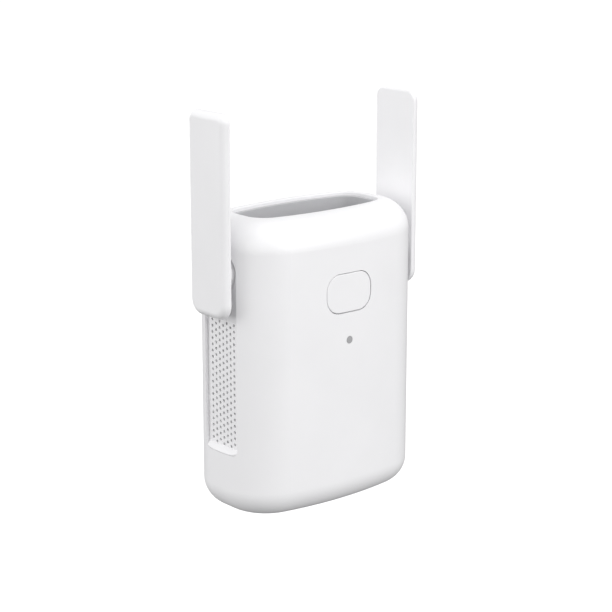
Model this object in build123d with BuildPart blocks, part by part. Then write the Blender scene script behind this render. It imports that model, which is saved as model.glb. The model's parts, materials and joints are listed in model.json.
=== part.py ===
"""Plug-in wifi range extender with two swivelling paddle antennas.

Millimetres. +Z is up, the front faces -Y and the plug blades point along +Y.
The origin is the centre of the plug face, the flat pad that rests against the wall outlet.
"""

import math
import os

from build123d import *

# ---------------------------------------------------------------- driving dimensions
BODY_WIDTH = 66.0
BODY_DEPTH = 39.0
BODY_HEIGHT = 87.6
PLUG_HEIGHT = 44.0  # from the base to the middle of the plug
CORNER_RADIUS = 15.5  # plan corners
SIDE_FLAT = 4.7  # flat stretch of each side, in plan
SHOULDER_RADIUS = 8.8  # roll of the top edge
FOOT_RADIUS = 7.8  # roll of the bottom edge
WALL = 2.0
FIT = 0.1  # gap between pieces that slot together
PLUG_PAD_PROUD = 1.2  # how far the plug pad stands out of the bowed back
BACK_COVER_DEPTH = 6.5
PARTING_LINE = 0.25  # width and depth of the shadow line between the halves
LIP_REACH = 1.3  # the back cover's locating lip, forward of the parting line
LIP_ROOT = 1.5
LIP_WALL = 1.0

# where the casing stands in the frame
Y_MID = -(BODY_DEPTH / 2 + PLUG_PAD_PROUD)
Z_BASE = -PLUG_HEIGHT
Z_TOP = Z_BASE + BODY_HEIGHT
Y_FRONT = Y_MID - BODY_DEPTH / 2
Y_FRONT_INNER = Y_FRONT + WALL
Y_BACK_INNER = Y_MID + BODY_DEPTH / 2 - WALL
Y_PARTING = Y_MID + BODY_DEPTH / 2 - BACK_COVER_DEPTH

# opening in the top and the tray that lines it
MOUTH_INSET = 9.3
MOUTH_LIP = 0.4
COLLAR_DEPTH = 5.0
COLLAR_WALL = 1.3
TRAY_TOP_DROP = 1.0
TRAY_WALL = 0.9
TRAY_DEPTH = 13.0  # from the casing's top to the tray floor
TRAY_FLOOR = 1.2
TRAY_SLOTS = 11
TRAY_SLOT_PITCH = 3.2
TRAY_SLOT_SIZE = (9.0, 1.6)

# side recesses, their grille panels and the antenna pivots
PIVOT_Z = 28.6
SIDE_Y = Y_MID - 0.3  # middle of the recesses and antennas, a little nearer the front
RECESS_HALF_WIDTH = 7.2
RECESS_BOTTOM = -25.3
RECESS_CORNER = 2.0
RECESS_FLOOR_X = 31.3
RAMP_RISE = 1.6
PANEL_SKIN = 1.4
PANEL_BACK_X = 28.2
PANEL_FLANGE_X = 29.3
PANEL_FLANGE_GROW = 1.4
HOLE_RADIUS = 0.45
HOLE_COLUMNS = 7
HOLE_ROWS = 20
HOLE_COLUMN_PITCH = 1.68
HOLE_ROW_PITCH = 1.87
HOLE_FIRST_Z = -22.2

# antennas
ANTENNA_WIDTH = 16.4
ANTENNA_TOP = 74.4
ANTENNA_HEEL = 15.7
ANTENNA_INNER_X = 34.3
ANTENNA_SPLIT_X = 35.3
ANTENNA_OUTER_X = 37.2
ANTENNA_TOP_CORNER = 2.8
ANTENNA_HEEL_CORNER = 4.5
ANTENNA_EDGE = 2.0  # rounding of the outer face's edges
ANTENNA_CROWN = 0.3
ANTENNA_SKIN = 0.8  # thickness of the outer face
ANTENNA_RIM = 1.5  # thickness of the sides
ANTENNA_POCKET = 0.3  # depth of the pocket in the inner half
ANTENNA_SEAM = 0.06  # bevel along the joint of the two halves
HUB_RADIUS = 6.0
SHAFT_RADIUS = 3.2
SHAFT_END_X = 24.6
SHAFT_BORE_RADIUS = 1.2
BEARING_CLEARANCE = 0.05
BEARING_BOSS_X = 26.8
BEARING_BOSS_RADIUS = 5.2
CLIP_X = (25.0, 25.9)
CLIP_GROOVE_RADIUS = 2.5

# button, light and reset
BUTTON_SIZE = (16.5, 11.4)
BUTTON_CORNER = 4.6
BUTTON_Z = 20.8
BUTTON_GAP = 0.22
BUTTON_TRAVEL = 0.5
LIGHT_Z = 6.7
LIGHT_RADIUS = 1.1
RESET_POINT = (11.4, -26.9)
RESET_HOLE_RADIUS = 0.9

# boards
BOARD_WIDTH = 38.0
MAIN_BOARD_Y = (-29.6, -28.6)
MAIN_BOARD_Z = (-41.0, 27.0)
MAINS_BOARD_Y = (-16.6, -15.4)
MAINS_BOARD_Z = (-18.5, 26.5)
BARRIER_THICKNESS = 0.3
SWITCH_STEM_Y = -34.2  # front of the push switch's stem
SWITCH_BASE_Y = -33.0
RESET_SWITCH_Y = (MAIN_BOARD_Y[1], MAIN_BOARD_Y[1] + 3.4)
RESET_SWITCH_Z = (-38.0, -34.2)
LEAD_PLUG_X = 13.4
LEAD_PLUG_Z = 16.4
LINK_X = -9.0
LINK_Z = -11.0
LINK_PITCH = 2.54
BOARD_SCREW_X = 16.5
MAIN_BOARD_SCREW_Z = (-36.5, 23.0)
MAINS_BOARD_SCREW_Z = (-14.5, 22.5)

# ethernet jack, on the back of the main board, its mouth through the base
JACK_SIZE = (16.0, 13.5, 21.3)
JACK_MOUTH_Z = Z_BASE + 0.4
JACK_SOCKET = (11.9, 7.0, 15.0)
JACK_Y = (MAIN_BOARD_Y[1], MAIN_BOARD_Y[1] + JACK_SIZE[1])
SOCKET_Y = JACK_Y[0] + 2.2

# plug
PAD_SIZE = (36.0, 30.0)
PLUG_WINDOW = (26.0, 18.0)
BLADE_SIZE = (1.5, 6.35)
BLADE_PITCH = 12.7
BLADE_LENGTH = 17.0
BLADE_HOLE_RADIUS = 1.6
BLADE_HOLE_Y = 11.9
BLADE_TAIL_Y = -14.6

# screws
COVER_SCREW_X = 22.0
COVER_SCREW_Z = (-31.0, 17.0)
COVER_SEAT_Y = -8.3  # where the heads of the cover screws sit
COVER_BOSS_Y = -9.8
SCREW_RADIUS = 1.0

os.makedirs("parts", exist_ok=True)


# ---------------------------------------------------------------- shared shapes
def save(piece, name):
    """Labels a finished piece and writes its STEP file."""
    piece.label = name
    export_step(piece, f"parts/{name}.step")


def save_both(right_piece, name):
    """Writes a right-hand piece and its mirror image on the left."""
    save(right_piece, f"right_{name}")
    save(mirror(right_piece, about=Plane.YZ), f"left_{name}")


def plan_outline(inset):
    """Plan of the casing moved inwards by inset: flat sides, round corners, bowed front and back."""
    half_width = BODY_WIDTH / 2 - inset
    half_depth = BODY_DEPTH / 2 - inset
    corner = CORNER_RADIUS - inset
    flat = SIDE_FLAT / 2
    corner_x = half_width - corner
    reach = half_depth - flat
    bow = (corner_x**2 + reach**2 - corner**2) / (2 * (reach - corner))
    bow_y = half_depth - bow
    tangent_angle = math.atan2(flat - bow_y, corner_x)

    def on_arc(centre_x, centre_y, radius, angle):
        return (centre_x + radius * math.cos(angle), centre_y + radius * math.sin(angle))

    tangent = on_arc(0, bow_y, bow, tangent_angle)
    with BuildSketch() as outline:
        with BuildLine():
            Line((half_width, 0), (half_width, flat))
            ThreePointArc(
                (half_width, flat),
                on_arc(corner_x, flat, corner, tangent_angle / 2),
                tangent,
            )
            ThreePointArc(
                tangent,
                on_arc(0, bow_y, bow, (tangent_angle + math.pi / 2) / 2),
                (0, half_depth),
            )
            mirror(about=Plane.YZ)
            mirror(about=Plane.XZ)
        make_face()
    return outline.sketch


def plan_prism(inset, z_low, z_high):
    """The casing's plan, moved inwards by inset, as a straight prism between two heights."""
    with BuildPart() as prism:
        with BuildSketch(Plane((0, Y_MID, z_low))):
            add(plan_outline(inset))
        extrude(amount=z_high - z_low)
    return prism.part


def casing_envelope(inset):
    """The casing's outside moved inwards by inset, with its shoulder and foot rolled."""
    with BuildPart() as envelope:
        add(plan_prism(inset, Z_BASE + inset, Z_TOP - inset))
        fillet(envelope.edges().group_by(Axis.Z)[-1], SHOULDER_RADIUS - inset)
        fillet(envelope.edges().group_by(Axis.Z)[0], FOOT_RADIUS - inset)
    return envelope.part


def casing_slice(inset, y_front, y_back):
    """The part of a moved-in casing envelope between two depths."""
    with BuildPart() as slice_:
        add(casing_envelope(inset))
        add(
            block((-BODY_WIDTH, BODY_WIDTH), (y_front, y_back), (-BODY_HEIGHT, BODY_HEIGHT)),
            mode=Mode.INTERSECT,
        )
    return slice_.part


def side_plane(x):
    """A plane across X, its local x along +Y and its local y along +Z, centred on the recesses."""
    return Plane(origin=(x, SIDE_Y, 0), x_dir=(0, 1, 0), z_dir=(1, 0, 0))


def front_plane(y):
    """A plane facing the front, with its local x along +X and its local y along +Z."""
    return Plane(origin=(0, y, 0), x_dir=(1, 0, 0), z_dir=(0, -1, 0))


def front_prism(sketch, y_front, y_back):
    """A sketch drawn in X and Z, extruded between two depths."""
    with BuildPart() as prism:
        with BuildSketch(front_plane(y_back)):
            add(sketch)
        extrude(amount=y_back - y_front)
    return prism.part


def block(x, y, z):
    """A box between pairs of limits along each axis."""
    centre = ((x[0] + x[1]) / 2, (y[0] + y[1]) / 2, (z[0] + z[1]) / 2)
    with BuildPart(Plane(centre)) as box:
        Box(x[1] - x[0], y[1] - y[0], z[1] - z[0])
    return box.part


def rod(radius, y_front, y_back, places):
    """Round rods along Y at each (x, z) place."""
    with BuildPart() as rods:
        with BuildSketch(front_plane(y_back)):
            with Locations(*places):
                Circle(radius)
        extrude(amount=y_back - y_front)
    return rods.part


def corners_at(x, heights):
    """The four (x, z) places that a pair of screw rows makes."""
    return [(side * x, z) for side in (-1, 1) for z in heights]


def rounded_rectangle(size, radius, centre_z=0.0):
    """A rounded rectangle in X and Z."""
    with BuildSketch() as shape:
        with Locations((0, centre_z)):
            RectangleRounded(*size, radius)
    return shape.sketch


def recess_profile(grow):
    """Side view of a side recess: straight sides, a round top on the pivot and small lower corners."""
    half_width = RECESS_HALF_WIDTH + grow
    bottom = RECESS_BOTTOM - grow
    with BuildSketch() as profile:
        with BuildLine():
            Line((half_width, PIVOT_Z), (half_width, bottom))
            Line((half_width, bottom), (-half_width, bottom))
            Line((-half_width, bottom), (-half_width, PIVOT_Z))
            ThreePointArc((-half_width, PIVOT_Z), (0, PIVOT_Z + half_width), (half_width, PIVOT_Z))
        make_face()
        fillet(profile.vertices().group_by(Axis.Y)[0], RECESS_CORNER + grow)
    return profile.sketch


def recess_prism(grow, x_low, x_high):
    """A right-hand side recess between two distances from the middle."""
    with BuildPart() as prism:
        with BuildSketch(side_plane(x_low)):
            add(recess_profile(grow))
        extrude(amount=x_high - x_low)
    return prism.part


def pivot_disc(radius, x_low, x_high):
    """A round disc on the right-hand antenna pivot."""
    with BuildPart() as disc:
        with BuildSketch(side_plane(x_low)):
            with Locations((0, PIVOT_Z)):
                Circle(radius)
        extrude(amount=x_high - x_low)
    return disc.part


def parting_groove():
    """The fine shadow line round the casing where its two halves meet."""
    with BuildPart() as groove:
        add(casing_slice(-1.0, Y_PARTING - PARTING_LINE / 2, Y_PARTING + PARTING_LINE / 2))
        add(casing_envelope(PARTING_LINE), mode=Mode.SUBTRACT)
    return groove.part


OUTER = casing_envelope(0)
MID_WALL = casing_envelope(WALL / 2)
CAVITY = casing_envelope(WALL)
SCREW_PLACES = corners_at(COVER_SCREW_X, COVER_SCREW_Z)
MAIN_BOARD_PLACES = corners_at(BOARD_SCREW_X, MAIN_BOARD_SCREW_Z)
MAINS_BOARD_PLACES = corners_at(BOARD_SCREW_X, MAINS_BOARD_SCREW_Z)
LINK_PINS = [(LINK_X + (i - 1.5) * LINK_PITCH, LINK_Z) for i in range(4)]


# ---------------------------------------------------------------- casing
def make_front_shell():
    """The deep front casing: front, sides, top with its mouth, base, posts and button guide."""
    button_frame = (BUTTON_SIZE[0] + 3.6, BUTTON_SIZE[1] + 3.6)
    guide_outer = (button_frame[0] + 2.4, button_frame[1] + 2.4)
    with BuildPart() as posts:
        add(rod(2.6, Y_FRONT, COVER_BOSS_Y - FIT / 2, SCREW_PLACES))
        add(rod(2.2, Y_FRONT, MAIN_BOARD_Y[0] - FIT / 2, MAIN_BOARD_PLACES))
        add(
            front_prism(
                rounded_rectangle(guide_outer, BUTTON_CORNER + 2.7, BUTTON_Z),
                Y_FRONT,
                Y_FRONT_INNER + 3.2,
            )
        )
        add(
            front_prism(
                rounded_rectangle(button_frame, BUTTON_CORNER + 1.5, BUTTON_Z),
                Y_FRONT,
                Y_FRONT_INNER + 3.2,
            ),
            mode=Mode.SUBTRACT,
        )
        add(MID_WALL, mode=Mode.INTERSECT)
        add(rod(SCREW_RADIUS + 0.05, Y_FRONT_INNER + 4, Y_PARTING, SCREW_PLACES), mode=Mode.SUBTRACT)
        add(
            rod(SCREW_RADIUS + 0.05, MAIN_BOARD_Y[0] - 5, Y_PARTING, MAIN_BOARD_PLACES),
            mode=Mode.SUBTRACT,
        )
    with BuildPart() as front_shell:
        add(OUTER)
        add(CAVITY, mode=Mode.SUBTRACT)
        split(bisect_by=Plane.XZ.offset(-Y_PARTING), keep=Keep.TOP)
        add(posts.part)
        # collar that hangs from the top wall, and the mouth through both
        add(plan_prism(MOUTH_INSET - COLLAR_WALL, Z_TOP - COLLAR_DEPTH, Z_TOP - WALL / 2))
        add(plan_prism(MOUTH_INSET, Z_TOP - COLLAR_DEPTH, Z_TOP), mode=Mode.SUBTRACT)
        mouth_edges = front_shell.edges().group_by(Axis.Z)[-1].filter_by(
            lambda e: e.bounding_box().size.X < BODY_WIDTH - 2 * MOUTH_INSET + 1
        )
        inner_loop = [e for e in mouth_edges if plan_distance(e) > MOUTH_INSET - 0.05]
        fillet(inner_loop, MOUTH_LIP)
        # side windows for the grille panels
        for x_low in (PANEL_BACK_X, -BODY_WIDTH / 2 - 1):
            add(
                recess_prism(0, x_low, x_low + BODY_WIDTH / 2 + 1 - PANEL_BACK_X),
                mode=Mode.SUBTRACT,
            )
        # button, status light, jack and reset holes
        hole = (BUTTON_SIZE[0] + 2 * BUTTON_GAP, BUTTON_SIZE[1] + 2 * BUTTON_GAP)
        add(
            front_prism(
                rounded_rectangle(hole, BUTTON_CORNER + BUTTON_GAP, BUTTON_Z),
                Y_FRONT - 1,
                Y_FRONT_INNER + 1,
            ),
            mode=Mode.SUBTRACT,
        )
        add(
            rod(LIGHT_RADIUS + 0.05, Y_FRONT - 1, Y_FRONT_INNER + 1, [(0, LIGHT_Z)]),
            mode=Mode.SUBTRACT,
        )
        jack_gap = 0.15
        add(
            block(
                (-JACK_SIZE[0] / 2 - jack_gap, JACK_SIZE[0] / 2 + jack_gap),
                (JACK_Y[0] - jack_gap, JACK_Y[1] + jack_gap),
                (Z_BASE - 1, Z_BASE + WALL + 1),
            ),
            mode=Mode.SUBTRACT,
        )
        with BuildSketch(Plane.XY.offset(Z_BASE - 1)):
            with Locations(RESET_POINT):
                Circle(RESET_HOLE_RADIUS)
        extrude(amount=WALL + 2, mode=Mode.SUBTRACT)
        add(parting_groove(), mode=Mode.SUBTRACT)
    return front_shell.part


def plan_distance(edge):
    """How far inside the casing's plan the middle of an edge lies, measured on the front and side axes."""
    box = edge.bounding_box()
    side_gap = BODY_WIDTH / 2 - max(abs(box.min.X), abs(box.max.X))
    depth_gap = BODY_DEPTH / 2 - max(abs(box.min.Y - Y_MID), abs(box.max.Y - Y_MID))
    return min(side_gap, depth_gap)


def make_back_cover():
    """The shallow back casing with its plug pad, locating lip, screw wells and board posts."""
    with BuildPart() as lip:
        add(casing_slice(WALL + FIT, Y_PARTING - LIP_REACH, Y_PARTING))
        add(casing_slice(WALL / 2, Y_PARTING, Y_PARTING + LIP_ROOT))
        add(
            casing_slice(WALL + LIP_WALL, Y_PARTING - LIP_REACH, Y_PARTING + LIP_ROOT),
            mode=Mode.SUBTRACT,
        )
    with BuildPart() as bosses:
        add(rod(3.2, COVER_BOSS_Y, 0, SCREW_PLACES))
        add(rod(2.2, MAINS_BOARD_Y[1] + FIT / 2, 0, MAINS_BOARD_PLACES))
        add(MID_WALL, mode=Mode.INTERSECT)
    with BuildPart() as back_cover:
        add(OUTER)
        add(CAVITY, mode=Mode.SUBTRACT)
        split(bisect_by=Plane.XZ.offset(-Y_PARTING), keep=Keep.BOTTOM)
        add(lip.part)
        add(bosses.part)
        add(front_prism(rounded_rectangle(PAD_SIZE, 6.0), Y_BACK_INNER - 0.8, 0))
        fillet(back_cover.edges().group_by(Axis.Y)[-1], 0.5)
        add(
            front_prism(rounded_rectangle(PLUG_WINDOW, 3.0), Y_BACK_INNER - 3, 1),
            mode=Mode.SUBTRACT,
        )
        add(rod(2.3, COVER_SEAT_Y, 1, SCREW_PLACES), mode=Mode.SUBTRACT)
        add(rod(SCREW_RADIUS + 0.1, COVER_BOSS_Y - 1, 1, SCREW_PLACES), mode=Mode.SUBTRACT)
        add(
            rod(SCREW_RADIUS + 0.05, MAINS_BOARD_Y[1] - 1, MAINS_BOARD_Y[1] + 6, MAINS_BOARD_PLACES),
            mode=Mode.SUBTRACT,
        )
        add(parting_groove(), mode=Mode.SUBTRACT)
    return back_cover.part


def make_top_vent_tray():
    """The cup that lines the mouth in the top, with slots in its floor for warm air."""
    floor_z = Z_TOP - TRAY_DEPTH
    flange_top = Z_TOP - COLLAR_DEPTH - FIT / 2
    slot_length, slot_width = TRAY_SLOT_SIZE
    with BuildPart() as tray:
        add(plan_prism(MOUTH_INSET + FIT, floor_z - TRAY_FLOOR, Z_TOP - TRAY_TOP_DROP))
        add(plan_prism(MOUTH_INSET - COLLAR_WALL, flange_top - 1.2, flange_top))
        add(
            plan_prism(MOUTH_INSET + FIT + TRAY_WALL, floor_z, Z_TOP),
            mode=Mode.SUBTRACT,
        )
        fillet(tray.edges().group_by(Axis.Z)[-1], 0.35)
        with BuildSketch(Plane((0, Y_MID, floor_z - TRAY_FLOOR - 1))):
            with GridLocations(TRAY_SLOT_PITCH, 0, TRAY_SLOTS, 1):
                SlotOverall(slot_length, slot_width, rotation=90)
        extrude(amount=TRAY_FLOOR + 2, mode=Mode.SUBTRACT)
    return tray.part


def make_side_grille():
    """The right-hand recess panel: perforated floor, sloped lower end, flange and pivot bearing."""
    with BuildPart() as ramp:
        with BuildSketch(front_plane(SIDE_Y)):
            with BuildLine():
                Polyline(
                    (RECESS_FLOOR_X - 0.5, RECESS_BOTTOM + RAMP_RISE),
                    (RECESS_FLOOR_X, RECESS_BOTTOM + RAMP_RISE),
                    (BODY_WIDTH / 2, RECESS_BOTTOM + FIT),
                    (RECESS_FLOOR_X - 0.5, RECESS_BOTTOM + FIT),
                    close=True,
                )
            make_face()
        extrude(amount=RECESS_HALF_WIDTH, both=True)
        add(recess_prism(-FIT, PANEL_BACK_X, BODY_WIDTH / 2 + 1), mode=Mode.INTERSECT)
        add(casing_envelope(0.06), mode=Mode.INTERSECT)
    with BuildPart() as grille:
        add(recess_prism(-FIT, PANEL_BACK_X, RECESS_FLOOR_X))
        add(recess_prism(PANEL_FLANGE_GROW, PANEL_BACK_X, PANEL_FLANGE_X))
        with BuildSketch(side_plane(PANEL_BACK_X)):
            pocket_low, pocket_high = RECESS_BOTTOM + 1.6, PIVOT_Z - 10.0
            with Locations((0, (pocket_low + pocket_high) / 2)):
                RectangleRounded(2 * RECESS_HALF_WIDTH - 3.0, pocket_high - pocket_low, 1.0)
        extrude(amount=RECESS_FLOOR_X - PANEL_SKIN - PANEL_BACK_X, mode=Mode.SUBTRACT)
        add(ramp.part)
        add(pivot_disc(BEARING_BOSS_RADIUS, BEARING_BOSS_X, PANEL_BACK_X))
        add(
            pivot_disc(SHAFT_RADIUS + BEARING_CLEARANCE, BEARING_BOSS_X - 1, RECESS_FLOOR_X + 1),
            mode=Mode.SUBTRACT,
        )
        # staggered perforations: every second column starts half a pitch lower
        with BuildSketch(side_plane(PANEL_BACK_X)):
            for column in range(HOLE_COLUMNS):
                across = (column - (HOLE_COLUMNS - 1) / 2) * HOLE_COLUMN_PITCH
                first = HOLE_FIRST_Z - (column % 2) * HOLE_ROW_PITCH / 2
                spots = [(across, first + row * HOLE_ROW_PITCH) for row in range(HOLE_ROWS)]
                with Locations(*spots):
                    Circle(HOLE_RADIUS)
        extrude(amount=RECESS_FLOOR_X - PANEL_BACK_X + 0.5, mode=Mode.SUBTRACT)
    return grille.part


# ---------------------------------------------------------------- antennas
def antenna_outline(inset):
    """Side view of an antenna paddle moved inwards by inset."""
    width = ANTENNA_WIDTH - 2 * inset
    height = ANTENNA_TOP - ANTENNA_HEEL - 2 * inset
    with BuildSketch() as outline:
        with Locations((0, (ANTENNA_TOP + ANTENNA_HEEL) / 2)):
            Rectangle(width, height)
        fillet(outline.vertices().group_by(Axis.Y)[-1], ANTENNA_TOP_CORNER - inset)
        fillet(outline.vertices().group_by(Axis.Y)[0], ANTENNA_HEEL_CORNER - inset)
    return outline.sketch


def antenna_slab(inset, x_low, x_high):
    """An antenna outline as a right-hand slab between two distances from the middle."""
    with BuildPart() as slab:
        with BuildSketch(side_plane(x_low)):
            add(antenna_outline(inset))
        extrude(amount=x_high - x_low)
    return slab.part


def antenna_envelope():
    """The whole outside of the right-hand antenna: crowned, round-edged outer face, flat inner face."""
    crown_radius = (ANTENNA_WIDTH**2 / 4 + ANTENNA_CROWN**2) / (2 * ANTENNA_CROWN)
    with BuildPart() as envelope:
        add(antenna_slab(0, ANTENNA_INNER_X, ANTENNA_OUTER_X + 1))
        with BuildSketch(Plane((ANTENNA_OUTER_X - crown_radius, SIDE_Y, 0))):
            Circle(crown_radius)
        extrude(amount=ANTENNA_TOP + 5, mode=Mode.INTERSECT)
        rim = envelope.edges().filter_by(lambda e: e.bounding_box().min.X > ANTENNA_OUTER_X - 0.8)
        fillet(rim, ANTENNA_EDGE)
        fillet(envelope.edges().group_by(Axis.X)[0], 0.4)
    return envelope.part


def make_antenna_outer_shell():
    """The outer half of the right-hand antenna, hollow inside."""
    with BuildPart() as outer_shell:
        add(antenna_envelope())
        split(bisect_by=Plane.YZ.offset(ANTENNA_SPLIT_X), keep=Keep.TOP)
        chamfer(outer_shell.edges().group_by(Axis.X)[0], ANTENNA_SEAM)
        add(
            antenna_slab(ANTENNA_RIM, ANTENNA_SPLIT_X, ANTENNA_OUTER_X - ANTENNA_SKIN),
            mode=Mode.SUBTRACT,
        )
    return outer_shell.part


def make_antenna_inner_shell():
    """The flat inner half of the right-hand antenna with its hub and hollow pivot shaft."""
    pocket_x = ANTENNA_SPLIT_X - ANTENNA_POCKET
    hub_x = RECESS_FLOOR_X + 0.15
    with BuildPart() as inner_shell:
        add(antenna_envelope())
        split(bisect_by=Plane.YZ.offset(ANTENNA_SPLIT_X), keep=Keep.BOTTOM)
        chamfer(inner_shell.edges().group_by(Axis.X)[-1], ANTENNA_SEAM)
        add(antenna_slab(ANTENNA_RIM, pocket_x, ANTENNA_SPLIT_X), mode=Mode.SUBTRACT)
        add(pivot_disc(HUB_RADIUS, hub_x, ANTENNA_INNER_X + 0.4))
        add(pivot_disc(SHAFT_RADIUS, SHAFT_END_X, hub_x))
        add(pivot_disc(SHAFT_RADIUS + 1, *CLIP_X), mode=Mode.SUBTRACT)
        add(pivot_disc(CLIP_GROOVE_RADIUS, *CLIP_X))
        add(pivot_disc(SHAFT_BORE_RADIUS, SHAFT_END_X - 1, ANTENNA_SPLIT_X), mode=Mode.SUBTRACT)
    return inner_shell.part


def make_antenna_element():
    """The right-hand antenna's radiator: a slim printed board with raised copper arms."""
    board_x = (ANTENNA_SPLIT_X - ANTENNA_POCKET + 0.05, ANTENNA_SPLIT_X + 0.45)
    with BuildPart() as element:
        with BuildSketch(side_plane(board_x[0])):
            with Locations((0, PIVOT_Z + 19.0)):
                RectangleRounded(8.0, 50.0, 1.0)
            with Locations((0, PIVOT_Z)):
                Circle(SHAFT_BORE_RADIUS, mode=Mode.SUBTRACT)
        extrude(amount=board_x[1] - board_x[0])
        with BuildSketch(side_plane(board_x[1])):
            with Locations((0, PIVOT_Z + 14.0)):
                Rectangle(1.2, 20.0)
            with Locations((-2.4, PIVOT_Z + 32.0), (2.4, PIVOT_Z + 32.0)):
                Rectangle(2.4, 20.0)
            with Locations((0, PIVOT_Z + 23.0)):
                Rectangle(7.2, 2.0)
        extrude(amount=0.1)
    return element.part


def make_hinge_clip():
    """The split retaining clip in the groove of the right-hand pivot shaft."""
    with BuildPart() as clip:
        add(pivot_disc(4.6, CLIP_X[0] + 0.06, CLIP_X[1] - 0.06))
        add(pivot_disc(CLIP_GROOVE_RADIUS + 0.02, *CLIP_X), mode=Mode.SUBTRACT)
        with BuildSketch(side_plane(CLIP_X[0])):
            with Locations((0, PIVOT_Z - 4)):
                Rectangle(3.4, 8)
        extrude(amount=CLIP_X[1] - CLIP_X[0], mode=Mode.SUBTRACT)
    return clip.part


def make_friction_ring():
    """The friction ring between the right-hand bearing and its retaining clip."""
    with BuildPart() as ring:
        add(pivot_disc(4.8, CLIP_X[1] + 0.1, BEARING_BOSS_X - 0.05))
        add(pivot_disc(SHAFT_RADIUS + 0.1, CLIP_X[1], BEARING_BOSS_X), mode=Mode.SUBTRACT)
    return ring.part


def make_coax():
    """The right-hand antenna lead, from the radiator through the pivot shaft to the main board."""
    lead_radius = 0.55
    route = [
        (ANTENNA_SPLIT_X + 0.6, SIDE_Y, PIVOT_Z),
        (19.0, SIDE_Y, PIVOT_Z),
        (LEAD_PLUG_X, -27.35, 25.4),
        (LEAD_PLUG_X, -27.35, LEAD_PLUG_Z + 2.9),
    ]
    corners = [Vector(*p) for p in route]
    radii = []
    for before, here, after in zip(corners, corners[1:], corners[2:]):
        turn = (here - before).get_angle(after - here)
        shorter = min((here - before).length, (after - here).length)
        radii.append(0.45 * shorter / math.tan(math.radians(turn / 2)))
    print("antenna lead bend radii", [round(r, 2) for r in radii])
    with BuildPart() as lead:
        with BuildLine() as path:
            FilletPolyline(*route, radius=radii)
        with BuildSketch(Plane(origin=path.line @ 0, z_dir=path.line % 0)):
            Circle(lead_radius)
        sweep()
    length = sum(e.length for e in path.edges())
    ratio = lead.part.volume / (math.pi * lead_radius**2 * length)
    print("antenna lead length", round(length, 2), "volume ratio", round(ratio, 4))
    return lead.part


def make_coax_plug():
    """The right-hand lead's board connector: a round snap socket and its crimp sleeve."""
    board_face = MAIN_BOARD_Y[1]
    with BuildPart() as plug:
        add(rod(1.5, board_face, board_face + 2.0, [(LEAD_PLUG_X, LEAD_PLUG_Z)]))
        add(
            block(
                (LEAD_PLUG_X - 0.8, LEAD_PLUG_X + 0.8),
                (board_face + 0.5, board_face + 1.9),
                (LEAD_PLUG_Z, LEAD_PLUG_Z + 2.9),
            )
        )
    return plug.part


# ---------------------------------------------------------------- controls
def make_button_cap():
    """The front button: flush bowed face, retaining flange behind the wall and a plunger."""
    flange = (BUTTON_SIZE[0] + 3.0, BUTTON_SIZE[1] + 3.0)
    flange_y = (Y_FRONT_INNER + 0.6, Y_FRONT_INNER + 1.6)
    with BuildPart() as cap:
        add(
            front_prism(
                rounded_rectangle(BUTTON_SIZE, BUTTON_CORNER, BUTTON_Z), Y_FRONT - 1, flange_y[0]
            )
        )
        add(casing_envelope(0.02), mode=Mode.INTERSECT)
        fillet(cap.edges().filter_by(lambda e: e.center().Y < Y_FRONT + 1.2), 0.25)
        add(front_prism(rounded_rectangle(flange, BUTTON_CORNER + 1.3, BUTTON_Z), *flange_y))
        add(rod(2.0, flange_y[1], SWITCH_STEM_Y, [(0, BUTTON_Z)]))
    return cap.part


def make_button_switch_base():
    """The push switch under the front button, with the well that its stem slides in."""
    half = 3.0
    with BuildPart() as base:
        add(block((-half, half), (SWITCH_BASE_Y, MAIN_BOARD_Y[0]), (BUTTON_Z - half, BUTTON_Z + half)))
        chamfer(base.edges().filter_by(Axis.Y), 0.6)
        add(rod(1.8, SWITCH_BASE_Y - 1, SWITCH_BASE_Y + 1.6, [(0, BUTTON_Z)]), mode=Mode.SUBTRACT)
    return base.part


def make_button_switch_stem():
    """The round stem of the push switch, which moves with the button."""
    with BuildPart() as stem:
        add(rod(1.7, SWITCH_STEM_Y, SWITCH_BASE_Y + 0.8, [(0, BUTTON_Z)]))
    return stem.part


def make_status_light_pipe():
    """The clear rod that carries the status light to the front face."""
    with BuildPart() as pipe:
        add(rod(LIGHT_RADIUS, Y_FRONT + 0.03, -31.75, [(0, LIGHT_Z)]))
        add(rod(2.2, Y_FRONT_INNER + 0.1, Y_FRONT_INNER + 1.1, [(0, LIGHT_Z)]))
    return pipe.part


def make_status_led():
    """The surface-mounted status light on the main board, with its domed window."""
    with BuildPart() as led:
        add(block((-1.75, 1.75), (-31.1, MAIN_BOARD_Y[0]), (LIGHT_Z - 1.4, LIGHT_Z + 1.4)))
        add(rod(1.1, -31.6, -31.1, [(0, LIGHT_Z)]))
    return led.part


def make_reset_switch_base():
    """The side-pushed reset switch above its pinhole in the base."""
    x, y = RESET_POINT
    with BuildPart() as base:
        add(block((x - 2.6, x + 2.6), RESET_SWITCH_Y, RESET_SWITCH_Z))
        with BuildSketch(Plane.XY.offset(RESET_SWITCH_Z[0])):
            with Locations(RESET_POINT):
                Rectangle(2.5, 1.6)
        extrude(amount=1.5, mode=Mode.SUBTRACT)
    return base.part


def make_reset_switch_stem():
    """The flat stem of the reset switch, pushed up by a pin through the base."""
    with BuildPart() as stem:
        with BuildSketch(Plane.XY.offset(RESET_SWITCH_Z[0] - 1.2)):
            with Locations(RESET_POINT):
                Rectangle(2.3, 1.4)
        extrude(amount=2.1)
    return stem.part


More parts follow.
